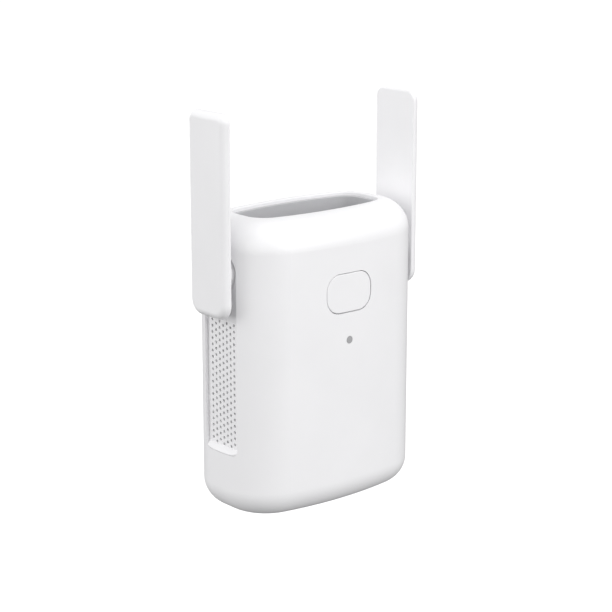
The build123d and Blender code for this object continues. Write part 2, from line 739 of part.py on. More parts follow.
# ---------------------------------------------------------------- boards and what is on them
def make_main_board():
    """The radio board behind the front face."""
    half = BOARD_WIDTH / 2
    with BuildPart() as board:
        add(block((-half, half), MAIN_BOARD_Y, MAIN_BOARD_Z))
        fillet(board.edges().filter_by(Axis.Y), 1.5)
        add(rod(SCREW_RADIUS + 0.1, MAIN_BOARD_Y[0] - 1, 0, MAIN_BOARD_PLACES), mode=Mode.SUBTRACT)
    return board.part


def make_mains_board():
    """The power supply board in front of the plug."""
    half = BOARD_WIDTH / 2
    with BuildPart() as board:
        add(block((-half, half), MAINS_BOARD_Y, MAINS_BOARD_Z))
        fillet(board.edges().filter_by(Axis.Y), 1.5)
        add(
            rod(SCREW_RADIUS + 0.1, MAINS_BOARD_Y[0] - 1, 0, MAINS_BOARD_PLACES),
            mode=Mode.SUBTRACT,
        )
    return board.part


def make_insulation_barrier():
    """The thin sheet that keeps the mains board's solder side away from the radio board."""
    half = BOARD_WIDTH / 2 + 0.2
    sheet_y = (MAINS_BOARD_Y[0] - BARRIER_THICKNESS, MAINS_BOARD_Y[0])
    sheet_z = (MAINS_BOARD_Z[0] - 0.6, MAINS_BOARD_Z[1] + 0.4)
    with BuildPart() as barrier:
        add(block((-half, half), sheet_y, sheet_z))
        fillet(barrier.edges().filter_by(Axis.Y), 2.0)
        add(
            rod(SCREW_RADIUS + 0.1, sheet_y[0] - 1, 0, MAINS_BOARD_PLACES),
            mode=Mode.SUBTRACT,
        )
        add(
            block((LINK_X - 5.6, LINK_X + 5.6), (sheet_y[0] - 1, 0), (LINK_Z - 1.8, LINK_Z + 1.8)),
            mode=Mode.SUBTRACT,
        )
    return barrier.part


def make_power_socket():
    """The four-way socket on the main board that takes the low-voltage supply."""
    socket_y = (MAIN_BOARD_Y[1], MAIN_BOARD_Y[1] + 8.5)
    with BuildPart() as socket:
        add(block((LINK_X - 5.3, LINK_X + 5.3), socket_y, (LINK_Z - 1.25, LINK_Z + 1.25)))
        chamfer(socket.edges().group_by(Axis.Y)[-1], 0.2)
        with BuildSketch(front_plane(socket_y[1])):
            with Locations(*LINK_PINS):
                Rectangle(0.8, 0.8)
        extrude(amount=7.0, mode=Mode.SUBTRACT)
    return socket.part


def make_power_header():
    """The pin header on the mains board that plugs into the supply socket."""
    bar_y = (MAINS_BOARD_Y[0] - 2.5, MAINS_BOARD_Y[0])
    with BuildPart() as header:
        add(block((LINK_X - 5.1, LINK_X + 5.1), bar_y, (LINK_Z - 1.25, LINK_Z + 1.25)))
        chamfer(header.edges().filter_by(Axis.Y), 0.4)
        with BuildSketch(front_plane(bar_y[0])):
            with Locations(*LINK_PINS):
                Rectangle(0.64, 0.64)
        extrude(amount=6.0)
    return header.part


def make_shield_can(x, z, size, name):
    """A pressed shield can on the front of the main board, with its vent holes."""
    width, height = size
    rise = 1.8
    face = MAIN_BOARD_Y[0]
    with BuildPart() as can:
        add(block((x - width / 2, x + width / 2), (face - rise, face), (z - height / 2, z + height / 2)))
        fillet(can.edges().filter_by(Axis.Y), 0.8)
        fillet(can.edges().group_by(Axis.Y)[0], 0.4)
        add(
            block(
                (x - width / 2 + 0.2, x + width / 2 - 0.2),
                (face - rise + 0.2, face + 1),
                (z - height / 2 + 0.2, z + height / 2 - 0.2),
            ),
            mode=Mode.SUBTRACT,
        )
        with BuildSketch(front_plane(face)):
            with Locations((x, z)):
                with GridLocations(4.0, 4.0, int(width // 4) - 1, int(height // 4) - 1):
                    Circle(0.6)
        extrude(amount=rise + 1, mode=Mode.SUBTRACT)
    save(can.part, name)


def make_radio_chip():
    """The radio processor under the heat sink."""
    with BuildPart() as chip:
        add(block((-5.5, 5.5), (MAIN_BOARD_Y[1], MAIN_BOARD_Y[1] + 1.1), (0.5, 11.5)))
        chamfer(chip.edges().group_by(Axis.Y)[-1], 0.15)
    return chip.part


def make_thermal_pad():
    """The soft pad between the radio processor and its heat sink."""
    with BuildPart() as pad:
        add(block((-5.0, 5.0), (MAIN_BOARD_Y[1] + 1.1, MAIN_BOARD_Y[1] + 1.6), (1.0, 11.0)))
    return pad.part


def make_heat_sink():
    """The finned aluminium heat sink over the radio processor."""
    base_y = (MAIN_BOARD_Y[1] + 1.6, MAIN_BOARD_Y[1] + 2.8)
    fin_top = base_y[1] + 3.2
    with BuildPart() as sink:
        add(block((-11.0, 11.0), base_y, (-5.0, 17.0)))
        for fin in range(8):
            x = -11.0 + 0.5 + fin * 3.0
            add(block((x - 0.5, x + 0.5), (base_y[1] - 0.2, fin_top), (-5.0, 17.0)))
    return sink.part


def make_ethernet_jack():
    """The network jack: its socket opens through the base, with a stepped latch slot."""
    half_width = JACK_SIZE[0] / 2
    socket_half = JACK_SOCKET[0] / 2
    socket_top = SOCKET_Y + JACK_SOCKET[1]
    jack_z = (JACK_MOUTH_Z, JACK_MOUTH_Z + JACK_SIZE[2])
    deep = JACK_MOUTH_Z + JACK_SOCKET[2]
    with BuildPart() as jack:
        add(block((-half_width, half_width), JACK_Y, jack_z))
        chamfer(jack.edges().filter_by(Axis.Z), 0.3)
        add(
            block((-socket_half, socket_half), (SOCKET_Y, socket_top), (jack_z[0] - 1, deep)),
            mode=Mode.SUBTRACT,
        )
        add(
            block((-3.2, 3.2), (socket_top - 0.1, socket_top + 1.5), (jack_z[0] - 1, deep - 3)),
            mode=Mode.SUBTRACT,
        )
        add(
            block((-1.7, 1.7), (socket_top, socket_top + 3.0), (jack_z[0] - 1, deep - 3)),
            mode=Mode.SUBTRACT,
        )
        # grooves that let the contacts lie back into the wall
        for wire in range(8):
            x = (wire - 3.5) * 1.02
            add(
                block((x - 0.3, x + 0.3), (SOCKET_Y - 1.0, SOCKET_Y + 0.1), (jack_z[0] + 2, deep)),
                mode=Mode.SUBTRACT,
            )
    return jack.part


def make_ethernet_contacts():
    """The eight sprung contact wires of the network jack."""
    near, far = JACK_MOUTH_Z + 3.0, JACK_MOUTH_Z + JACK_SOCKET[2] - 0.4
    wire = 0.35
    with BuildPart() as contacts:
        for index in range(8):
            x = (index - 3.5) * 1.02
            with BuildSketch(Plane(origin=(x, 0, 0), x_dir=(0, 1, 0), z_dir=(1, 0, 0))):
                with BuildLine():
                    Polyline(
                        (SOCKET_Y - 0.9, near),
                        (SOCKET_Y - 0.9 + wire, near),
                        (SOCKET_Y + 1.3 + wire, far - 1.0),
                        (SOCKET_Y + 1.3 + wire, far),
                        (SOCKET_Y + 1.3, far),
                        close=True,
                    )
                make_face()
            extrude(amount=wire / 2, both=True)
    return contacts.part


def make_mains_transformer():
    """The supply's transformer: a ferrite core round a wound bobbin."""
    y0 = MAINS_BOARD_Y[1]
    with BuildPart() as transformer:
        add(block((-6.5, 6.5), (y0, y0 + 1.2), (11.8, 26.2)))
        add(block((-5.2, 5.2), (y0 + 1.2, y0 + 9.2), (12.8, 25.2)))
        fillet(transformer.edges().filter_by(Axis.Y).group_by(Axis.Y)[-1], 1.2)
        for z in (12.0, 24.2):
            add(block((-6.5, 6.5), (y0 + 1.2, y0 + 9.8), (z, z + 1.8)))
    return transformer.part


def make_supply_capacitors():
    """The two bulk capacitors of the supply, lying along Z."""
    with BuildPart() as capacitors:
        with BuildSketch(Plane.XY.offset(9.0)):
            with Locations((-13.2, MAINS_BOARD_Y[1] + 4.1), (13.2, MAINS_BOARD_Y[1] + 4.1)):
                Circle(4.0)
        extrude(amount=-15.0)
        fillet(capacitors.edges().filter_by(GeomType.CIRCLE), 0.6)
    return capacitors.part


def make_bridge_rectifier():
    """The bridge rectifier of the supply."""
    y0 = MAINS_BOARD_Y[1]
    with BuildPart() as rectifier:
        add(block((10.2, 16.2), (y0, y0 + 2.6), (-13.0 + 2.5, -8.0)))
        chamfer(rectifier.edges().group_by(Axis.Y)[-1], 0.3)
    return rectifier.part


def make_mains_fuse():
    """The cylindrical fuse beside the live blade."""
    y0 = MAINS_BOARD_Y[1]
    with BuildPart() as fuse:
        with BuildSketch(Plane(origin=(-15.2, y0 + 2.0, -10.4), x_dir=(0, 1, 0), z_dir=(1, 0, 0))):
            Circle(1.8)
        extrude(amount=7.0)
        fillet(fuse.edges().filter_by(GeomType.CIRCLE), 0.4)
    return fuse.part


def make_plug_insert():
    """The moulded block that holds the plug blades in the back cover."""
    face = (PLUG_WINDOW[0] - 2 * FIT, PLUG_WINDOW[1] - 2 * FIT)
    with BuildPart() as insert:
        add(front_prism(rounded_rectangle(face, 3.0 - FIT), -6.4, 0))
        add(front_prism(rounded_rectangle((31.0, 22.5), 3.5), -6.4, -4.9))
        with BuildSketch(front_plane(1)):
            with Locations((-BLADE_PITCH / 2, 0), (BLADE_PITCH / 2, 0)):
                Rectangle(BLADE_SIZE[0] + 0.04, BLADE_SIZE[1] + 0.04)
        extrude(amount=9, mode=Mode.SUBTRACT)
    return insert.part


def make_plug_blade(x, name):
    """A flat plug blade with its cross hole and rounded tip."""
    half_thick, half_high = BLADE_SIZE[0] / 2, BLADE_SIZE[1] / 2
    with BuildPart() as blade:
        add(
            block(
                (x - half_thick, x + half_thick),
                (BLADE_TAIL_Y, BLADE_LENGTH),
                (-half_high, half_high),
            )
        )
        tip = blade.faces().sort_by(Axis.Y)[-1]
        chamfer(tip.edges().filter_by(Axis.Z), 0.45)
        fillet(blade.edges().filter_by(Axis.X).group_by(Axis.Y)[-1], 1.2)
        with BuildSketch(Plane(origin=(x - 2, BLADE_HOLE_Y, 0), x_dir=(0, 1, 0), z_dir=(1, 0, 0))):
            Circle(BLADE_HOLE_RADIUS)
        extrude(amount=4, mode=Mode.SUBTRACT)
    save(blade.part, name)


def make_blade_contacts():
    """The two spring clips that carry the mains from the blades to the supply board."""
    y0 = MAINS_BOARD_Y[1]
    with BuildPart() as contacts:
        for side in (-1, 1):
            inner = side * (BLADE_PITCH / 2 + BLADE_SIZE[0] / 2)
            outer = inner + side * 0.5
            foot = inner + side * 4.0
            add(block(sorted((inner, outer)), (y0 + 0.5, y0 + 5.0), (-2.4, 2.4)))
            add(block(sorted((inner, foot)), (y0, y0 + 0.5), (-2.4, 2.4)))
    return contacts.part


# ---------------------------------------------------------------- fasteners
def screw_set(places, seat_y, head, length, towards_front):
    """Pan-head screws along Y at each place: head against seat_y, shank away from the head."""
    head_radius, head_height = head
    sign = -1 if towards_front else 1
    shank = sorted((seat_y, seat_y + sign * length))
    cap = sorted((seat_y, seat_y - sign * head_height))
    slot = sorted((cap[0 if sign > 0 else 1], cap[0 if sign > 0 else 1] + sign * head_height * 0.5))
    with BuildPart() as screws:
        add(rod(head_radius, *cap, places))
        fillet(screws.edges().group_by(Axis.Y)[0 if sign > 0 else -1], 0.3)
        add(rod(SCREW_RADIUS, *shank, places))
        for turn in (0, 90):
            with BuildSketch(front_plane(slot[1])):
                with Locations(*places):
                    Rectangle(head_radius * 1.1, 0.45, rotation=turn)
            extrude(amount=slot[1] - slot[0], mode=Mode.SUBTRACT)
    return screws.part


# ---------------------------------------------------------------- write every piece
save(make_front_shell(), "front_shell")
save(make_back_cover(), "back_cover")
save(make_top_vent_tray(), "top_vent_tray")
save_both(make_side_grille(), "side_grille")

save_both(make_antenna_outer_shell(), "antenna_outer_shell")
save_both(make_antenna_inner_shell(), "antenna_inner_shell")
save_both(make_antenna_element(), "antenna_element")
save_both(make_hinge_clip(), "hinge_clip")
save_both(make_friction_ring(), "friction_ring")
save_both(make_coax(), "antenna_lead")
save_both(make_coax_plug(), "antenna_lead_plug")

save(make_button_cap(), "button_cap")
save(make_button_switch_base(), "button_switch_base")
save(make_button_switch_stem(), "button_switch_stem")
save(make_status_light_pipe(), "status_light_pipe")
save(make_status_led(), "status_led")
save(make_reset_switch_base(), "reset_switch_base")
save(make_reset_switch_stem(), "reset_switch_stem")

save(make_main_board(), "main_board")
save(make_mains_board(), "mains_board")
save(make_insulation_barrier(), "insulation_barrier")
save(make_power_socket(), "power_socket")
save(make_power_header(), "power_header")
make_shield_can(0.0, -12.5, (30.0, 18.0), "radio_shield_can")
make_shield_can(0.0, -31.5, (22.0, 12.0), "memory_shield_can")
save(make_radio_chip(), "radio_chip")
save(make_thermal_pad(), "thermal_pad")
save(make_heat_sink(), "heat_sink")
save(make_ethernet_jack(), "ethernet_jack")
save(make_ethernet_contacts(), "ethernet_contacts")

save(make_mains_transformer(), "mains_transformer")
save(make_supply_capacitors(), "supply_capacitors")
save(make_bridge_rectifier(), "bridge_rectifier")
save(make_mains_fuse(), "mains_fuse")
save(make_plug_insert(), "plug_insert")
make_plug_blade(-BLADE_PITCH / 2, "left_plug_blade")
make_plug_blade(BLADE_PITCH / 2, "right_plug_blade")
save(make_blade_contacts(), "blade_contacts")

save(screw_set(SCREW_PLACES, COVER_SEAT_Y, (2.1, 1.5), 12.0, True), "cover_screws")
save(
    screw_set(MAIN_BOARD_PLACES, MAIN_BOARD_Y[1], (1.9, 1.3), 5.5, True),
    "main_board_screws",
)
save(
    screw_set(MAINS_BOARD_PLACES, MAINS_BOARD_Y[0] - BARRIER_THICKNESS, (1.9, 1.3), 6.0, False),
    "mains_board_screws",
)
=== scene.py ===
"""Looks for the plug-in wifi range extender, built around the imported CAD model.

Metres, in the CAD frame: +Z up, the front faces -Y, the origin is the centre of the plug face.
"""

import json
import math

import bpy
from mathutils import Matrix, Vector


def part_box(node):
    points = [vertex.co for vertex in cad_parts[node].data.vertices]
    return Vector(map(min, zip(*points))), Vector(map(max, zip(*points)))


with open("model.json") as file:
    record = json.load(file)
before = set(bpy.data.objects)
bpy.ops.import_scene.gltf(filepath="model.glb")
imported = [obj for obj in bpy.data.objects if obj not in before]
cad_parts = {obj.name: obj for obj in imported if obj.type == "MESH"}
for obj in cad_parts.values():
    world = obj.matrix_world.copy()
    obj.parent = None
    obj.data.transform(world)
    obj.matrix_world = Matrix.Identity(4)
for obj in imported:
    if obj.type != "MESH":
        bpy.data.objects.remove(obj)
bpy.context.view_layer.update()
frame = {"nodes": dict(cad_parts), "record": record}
SCENE = bpy.context.scene

# ---------------------------------------------------------------- camera
AZIMUTH = -39.95  # degrees round the object, from straight in front
ELEVATION = 14.45
DISTANCE = 0.5652  # from the middle of the casing
LENS = 111.66
SENSOR = 36.0
SIDE_STEP = -0.0001  # how far the view's centre lies beside and above the middle of the casing
RISE = 0.0127


def direction(azimuth, elevation):
    """Unit vector from the object towards a place that far round it and above it."""
    a, e = math.radians(azimuth), math.radians(elevation)
    return Vector((math.sin(a) * math.cos(e), -math.cos(a) * math.cos(e), math.sin(e)))


shell_low, shell_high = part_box("front_shell")
tray_low, tray_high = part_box("top_vent_tray")
casing_middle = Vector((0, (tray_low.y + tray_high.y) / 2, (shell_low.z + shell_high.z) / 2))


def add_camera():
    """The camera at the studio view's angle, level, with no shift."""
    back = direction(AZIMUTH, ELEVATION)
    side = Vector((math.cos(math.radians(AZIMUTH)), math.sin(math.radians(AZIMUTH)), 0))
    over = back.cross(side)
    data = bpy.data.cameras.new("studio_camera")
    data.lens = LENS
    data.sensor_width = SENSOR
    data.clip_start = 0.05
    data.clip_end = 60.0
    camera = bpy.data.objects.new("studio_camera", data)
    SCENE.collection.objects.link(camera)
    camera.location = casing_middle + back * DISTANCE + side * SIDE_STEP + over * RISE
    camera.rotation_mode = "QUATERNION"
    camera.rotation_quaternion = (-back).to_track_quat("-Z", "Y")
    SCENE.camera = camera


# ---------------------------------------------------------------- studio
HORIZON_LIGHT = 1.06
GROUND_LIGHT = 0.26
ZENITH_LIGHT = 0.66
GROUND_TO_HORIZON = (-0.30, 0.00)  # the heights on the unit dome between which the light changes
HORIZON_TO_ZENITH = (0.25, 0.95)
RIGHT_DIMMING = 0.38  # how much less light comes from straight right than from the left, front and back
FLOOR_DROP = 0.25  # below the casing, which hangs on its plug
FLOOR_RADIUS = 12.0  # half the side of the square floor
FLOOR_COLOUR = (0.95, 0.95, 0.95)
FLOOR_GLOW = 0.35

# name, degrees round the object, degrees above it, distance, width and height, watts
SOFT_LIGHTS = (
    ("front_softbox", 14, 20, 1.2, (0.9, 0.9), 6.6),
    ("top_softbox", 0, 80, 1.1, (0.8, 0.8), 2.6),
    ("back_left_softbox", -122, 15, 1.2, (0.7, 0.9), 4.2),
)


def add_world():
    """A white dome, brightest round the horizon and dimmer below it, overhead and to the right."""
    world = bpy.data.worlds.new("studio_dome")
    SCENE.world = world
    world.use_nodes = True
    nodes, links = world.node_tree.nodes, world.node_tree.links
    nodes.clear()
    place = nodes.new("ShaderNodeTexCoord")
    towards = nodes.new("ShaderNodeSeparateXYZ")
    background = nodes.new("ShaderNodeBackground")
    output = nodes.new("ShaderNodeOutputWorld")
    links.new(place.outputs["Generated"], towards.inputs[0])

    def ramp(axis, span, low, high):
        """Light that goes smoothly from low to high across a span of one axis of the dome."""
        change = nodes.new("ShaderNodeMapRange")
        change.interpolation_type = "SMOOTHSTEP"
        change.inputs["From Min"].default_value = span[0]
        change.inputs["From Max"].default_value = span[1]
        change.inputs["To Min"].default_value = low
        change.inputs["To Max"].default_value = high
        links.new(towards.outputs[axis], change.inputs["Value"])
        return change.outputs["Result"]

    light = ramp("Z", GROUND_TO_HORIZON, GROUND_LIGHT, HORIZON_LIGHT)
    overhead = ramp("Z", HORIZON_TO_ZENITH, 1.0, ZENITH_LIGHT / HORIZON_LIGHT)
    to_the_right = ramp("X", (0.0, 1.0), 1.0, 1.0 - RIGHT_DIMMING)
    for factor in (overhead, to_the_right):
        light = math_node(nodes, links, "MULTIPLY", light, factor)
    background.inputs["Color"].default_value = (1.0, 1.0, 1.0, 1.0)
    links.new(light, background.inputs["Strength"])
    links.new(background.outputs["Background"], output.inputs["Surface"])


def add_area_light(name, azimuth, elevation, distance, size, power):
    """A rectangular soft light that faces the casing."""
    data = bpy.data.lights.new(name, "AREA")
    data.shape = "RECTANGLE"
    data.size, data.size_y = size
    data.energy = power
    light = bpy.data.objects.new(name, data)
    SCENE.collection.objects.link(light)
    towards = direction(azimuth, elevation)
    light.location = casing_middle + towards * distance
    light.rotation_mode = "QUATERNION"
    light.rotation_quaternion = (-towards).to_track_quat("-Z", "Y")


def add_floor():
    """A plain pale floor, far enough below the casing to take only a faint shadow."""
    mesh = bpy.data.meshes.new("floor")
    signs = ((-1, -1), (1, -1), (1, 1), (-1, 1))
    corners = [(x * FLOOR_RADIUS, y * FLOOR_RADIUS, 0) for x, y in signs]
    mesh.from_pydata(corners, [], [(0, 1, 2, 3)])
    floor = bpy.data.objects.new("floor", mesh)
    floor.location.z = shell_low.z - FLOOR_DROP
    SCENE.collection.objects.link(floor)
    floor.data.materials.append(plain_paint("floor_paint", FLOOR_COLOUR, FLOOR_GLOW))
    floor.visible_diffuse = False
    floor.visible_glossy = False


# ---------------------------------------------------------------- colours and reliefs
CASING_WHITE = (0.865, 0.862, 0.875)
GRILLE_WHITE = (0.85, 0.847, 0.86)
INSERT_WHITE = (0.80, 0.80, 0.80)
# the tray's grey is partly its own grey plastic and partly painted shade: it is made darker than the plastic
# to stand in for the shade inside the top recess
TRAY_GREY_WITH_PAINTED_SHADE = (0.52, 0.52, 0.535)
LIGHT_PIPE_GREY = (0.40, 0.40, 0.41)
LED_MILKY = (0.80, 0.82, 0.72)
STEM_CREAM = (0.66, 0.64, 0.58)
CONNECTOR_CREAM = (0.80, 0.78, 0.72)
BLADE_NICKEL = (0.80, 0.78, 0.74)
CONTACT_BRASS = (0.80, 0.62, 0.34)
CONTACT_GOLD = (0.95, 0.72, 0.36)
SCREW_ZINC = (0.70, 0.70, 0.71)
CLIP_STEEL = (0.46, 0.46, 0.48)
SHIELD_TIN = (0.76, 0.76, 0.75)
SINK_ALUMINIUM = (0.72, 0.73, 0.75)
CAN_ALUMINIUM = (0.72, 0.73, 0.74)
FUSE_CAP_NICKEL = (0.74, 0.74, 0.72)
RING_BLACK = (0.08, 0.08, 0.085)
SWITCH_BLACK = (0.045, 0.045, 0.05)
CHIP_BLACK = (0.03, 0.03, 0.032)
JACK_BLACK = (0.035, 0.035, 0.038)
JACKET_BLACKS = ((0.035, 0.035, 0.038), (0.06, 0.06, 0.065))
FERRITE_BLACKS = ((0.035, 0.035, 0.038), (0.075, 0.073, 0.072))
TAPE_YELLOWS = ((0.68, 0.50, 0.07), (0.80, 0.62, 0.12))
SLEEVE_BLUES = ((0.035, 0.04, 0.07), (0.055, 0.06, 0.10))
STRIPE_GREY = (0.62, 0.64, 0.66)
CERAMIC_WHITES = ((0.80, 0.79, 0.74), (0.88, 0.87, 0.83))
BARRIER_FILM = (0.80, 0.79, 0.73)
THERMAL_PAD_BLUE = (0.42, 0.46, 0.56)
RADIO_MASK, RADIO_TRACKS = (0.02, 0.16, 0.07), (0.05, 0.28, 0.12)
MAINS_MASK, MAINS_TRACKS = (0.52, 0.38, 0.17), (0.66, 0.50, 0.26)

# depths of relief, in metres
GLASS_RELIEF = 0.000002
RESIN_RELIEF = 0.000003
GRAIN_RELIEF = 0.000004
LINE_RELIEF = 0.000006
CUP_RELIEF = 0.000008
SLEEVE_RELIEF = 0.00001
RIPPLE_RELIEF = 0.00002
TRACK_RELIEF = 0.00003

# how far a metal's lines are drawn out along an axis
ALONG_Y = (1, 0.04, 1)
ALONG_Z = (1, 1, 0.04)


# ---------------------------------------------------------------- material building blocks
def new_material(name):
    """A material with a Principled shader, as (material, nodes, links, shader)."""
    material = bpy.data.materials.new(name)
    material.use_nodes = True
    nodes, links = material.node_tree.nodes, material.node_tree.links
    shader = nodes["Principled BSDF"]
    return material, nodes, links, shader


def plain_paint(name, colour, glow):
    """An even matt paint with a little glow of its own, for the floor only."""
    material, _, _, shader = new_material(name)
    shader.inputs["Base Color"].default_value = (*colour, 1)
    shader.inputs["Roughness"].default_value = 0.9
    shader.inputs["Emission Color"].default_value = (1, 1, 1, 1)
    shader.inputs["Emission Strength"].default_value = glow
    return material


def place_node(nodes, links, stretch=(1, 1, 1)):
    """Object coordinates, stretched."""
    place = nodes.new("ShaderNodeTexCoord")
    mapping = nodes.new("ShaderNodeMapping")
    mapping.inputs["Scale"].default_value = stretch
    links.new(place.outputs["Object"], mapping.inputs["Vector"])
    return mapping.outputs["Vector"]


def axis_nodes(nodes, links):
    """Object coordinates as separate X, Y and Z outputs."""
    place = nodes.new("ShaderNodeTexCoord")
    separate = nodes.new("ShaderNodeSeparateXYZ")
    links.new(place.outputs["Object"], separate.inputs[0])
    return separate.outputs["X"], separate.outputs["Y"], separate.outputs["Z"]


def math_node(nodes, links, operation, first, second):
    """One arithmetic step between two outputs or numbers."""
    step = nodes.new("ShaderNodeMath")
    step.operation = operation
    for socket, value in zip(step.inputs, (first, second)):
        if isinstance(value, (int, float)):
            socket.default_value = value
        else:
            links.new(value, socket)
    return step.outputs[0]


def noise_node(nodes, links, where, per_metre, detail=2.0, roughness=0.5):
    """Noise with features about 1 / per_metre across."""
    noise = nodes.new("ShaderNodeTexNoise")
    noise.inputs["Scale"].default_value = per_metre
    noise.inputs["Detail"].default_value = detail
    noise.inputs["Roughness"].default_value = roughness
    links.new(where, noise.inputs["Vector"])
    return noise.outputs["Fac"]


def range_node(nodes, links, value, low, high, start=0.3, end=0.7):
    """A value spread between two limits."""
    spread = nodes.new("ShaderNodeMapRange")
    spread.inputs["From Min"].default_value = start
    spread.inputs["From Max"].default_value = end
    spread.inputs["To Min"].default_value = low
    spread.inputs["To Max"].default_value = high
    links.new(value, spread.inputs["Value"])
    return spread.outputs["Result"]


def inside_node(nodes, links, value, middle, half):
    """1 where a value lies within half of the middle, 0 elsewhere."""
    compare = nodes.new("ShaderNodeMath")
    compare.operation = "COMPARE"
    compare.inputs[1].default_value = middle
    compare.inputs[2].default_value = half
    links.new(value, compare.inputs[0])
    return compare.outputs[0]


def mix_node(nodes, links, share, first, second):
    """Two colours mixed by a share."""
    mix = nodes.new("ShaderNodeMix")
    mix.data_type = "RGBA"
    for socket, colour in ((mix.inputs[6], first), (mix.inputs[7], second)):
        if isinstance(colour, tuple):
            socket.default_value = (*colour, 1)
        else:
            links.new(colour, socket)
    links.new(share, mix.inputs[0])
    return mix.outputs[2]


def bump_node(nodes, links, shader, height, strength, depth):
    """A fine relief on the shader's normal; depth in metres."""
    bump = nodes.new("ShaderNodeBump")
    bump.inputs["Strength"].default_value = strength
    bump.inputs["Distance"].default_value = depth
    links.new(height, bump.inputs["Height"])
    links.new(bump.outputs["Normal"], shader.inputs["Normal"])


def shade(colour, factor):
    """A colour made lighter or darker."""
    return tuple(min(1.0, c * factor) for c in colour)


def clouded(nodes, links, colour, spread, per_metre=60.0):
    """A colour that drifts a little lighter and darker in soft patches."""
    patches = noise_node(nodes, links, place_node(nodes, links), per_metre, 3.0)
    share = range_node(nodes, links, patches, 0.0, 1.0)
    return mix_node(nodes, links, share, shade(colour, 1 - spread), shade(colour, 1 + spread))


# ---------------------------------------------------------------- material families
def moulded_plastic(name, colour, roughness, grain=3500.0, relief=GRAIN_RELIEF, spread=0.012):
    """Injection-moulded plastic: a fine spark-eroded grain and very faint cloudy variation."""
    material, nodes, links, shader = new_material(name)
    fine = noise_node(nodes, links, place_node(nodes, links), grain, 3.0, 0.6)
    links.new(clouded(nodes, links, colour, spread), shader.inputs["Base Color"])
    links.new(range_node(nodes, links, fine, roughness - 0.04, roughness + 0.05), shader.inputs["Roughness"])
    bump_node(nodes, links, shader, fine, 0.35, relief)
    return material


def brushed_metal(name, colour, roughness, along=(1, 1, 1), lines=9000.0):
    """Metal with fine lines along one direction and slight tarnish."""
    material, nodes, links, shader = new_material(name)
    line = noise_node(nodes, links, place_node(nodes, links, along), lines, 3.0, 0.65)
    patch = noise_node(nodes, links, place_node(nodes, links), 300.0, 4.0)
    share = range_node(nodes, links, patch, 0.0, 1.0)
    links.new(
        mix_node(nodes, links, share, shade(colour, 0.82), shade(colour, 1.05)), shader.inputs["Base Color"]
    )
    shader.inputs["Metallic"].default_value = 1.0
    links.new(range_node(nodes, links, line, roughness - 0.07, roughness + 0.12), shader.inputs["Roughness"])
    bump_node(nodes, links, shader, line, 0.3, LINE_RELIEF)
    return material


def plated_metal(name, colour, roughness):
    """Plated metal with faint crystalline patches."""
    material, nodes, links, shader = new_material(name)
    where = place_node(nodes, links)
    cells = nodes.new("ShaderNodeTexVoronoi")
    cells.inputs["Scale"].default_value = 700.0
    links.new(where, cells.inputs["Vector"])
    share = range_node(nodes, links, cells.outputs["Distance"], 0.0, 1.0, 0.1, 0.7)
    links.new(
        mix_node(nodes, links, share, shade(colour, 1.04), shade(colour, 0.86)), shader.inputs["Base Color"]
    )
    shader.inputs["Metallic"].default_value = 1.0
    fine = noise_node(nodes, links, where, 5000.0, 3.0)
    links.new(range_node(nodes, links, fine, roughness - 0.05, roughness + 0.1), shader.inputs["Roughness"])
    bump_node(nodes, links, shader, fine, 0.25, GRAIN_RELIEF)
    return material


def circuit_laminate(name, mask, bare, trace_pitch, track_share):
    """A printed board: solder mask over a maze of tracks that show as slightly raised, lighter lines."""
    material, nodes, links, shader = new_material(name)
    where = place_node(nodes, links)
    maze = nodes.new("ShaderNodeTexBrick")
    maze.inputs["Scale"].default_value = 1.0
    maze.inputs["Brick Width"].default_value = trace_pitch * 7
    maze.inputs["Row Height"].default_value = trace_pitch
    maze.inputs["Mortar Size"].default_value = trace_pitch * 0.16
    turned = nodes.new("ShaderNodeMapping")
    turned.inputs["Rotation"].default_value = (math.radians(90), 0, 0)
    links.new(where, turned.inputs["Vector"])
    links.new(turned.outputs["Vector"], maze.inputs["Vector"])
    blocks = noise_node(nodes, links, where, 170.0, 1.0)
    routed = math_node(nodes, links, "GREATER_THAN", blocks, 1 - track_share)
    tracks = math_node(nodes, links, "MULTIPLY", maze.outputs["Fac"], routed)
    weave = noise_node(nodes, links, place_node(nodes, links, (1, 1, 4)), 2200.0, 3.0)
    share = range_node(nodes, links, weave, 0.0, 1.0)
    ground = mix_node(nodes, links, share, shade(mask, 0.9), shade(mask, 1.1))
    links.new(mix_node(nodes, links, tracks, ground, bare), shader.inputs["Base Color"])
    links.new(range_node(nodes, links, weave, 0.3, 0.42), shader.inputs["Roughness"])
    bump_node(nodes, links, shader, tracks, 0.5, TRACK_RELIEF)
    return material


def soft_sheet(name, colour, roughness):
    """Silicone or film: matt, with a faint ripple."""
    material, nodes, links, shader = new_material(name)
    ripple = noise_node(nodes, links, place_node(nodes, links), 900.0, 4.0)
    links.new(clouded(nodes, links, colour, 0.06, 250.0), shader.inputs["Base Color"])
    gloss = range_node(nodes, links, ripple, roughness - 0.06, roughness + 0.06)
    links.new(gloss, shader.inputs["Roughness"])
    bump_node(nodes, links, shader, ripple, 0.4, RIPPLE_RELIEF)
    return material


# ---------------------------------------------------------------- single materials
def light_pipe_finish(name):
    """The smoked clear rod of the status light: glassy, a little cloudy inside."""
    material, nodes, links, shader = new_material(name)
    links.new(clouded(nodes, links, LIGHT_PIPE_GREY, 0.05, 900.0), shader.inputs["Base Color"])
    fine = noise_node(nodes, links, place_node(nodes, links), 4000.0)
    links.new(range_node(nodes, links, fine, 0.16, 0.24), shader.inputs["Roughness"])
    shader.inputs["Coat Weight"].default_value = 0.4
    shader.inputs["Coat Roughness"].default_value = 0.08
    bump_node(nodes, links, shader, fine, 0.2, GLASS_RELIEF)
    return material


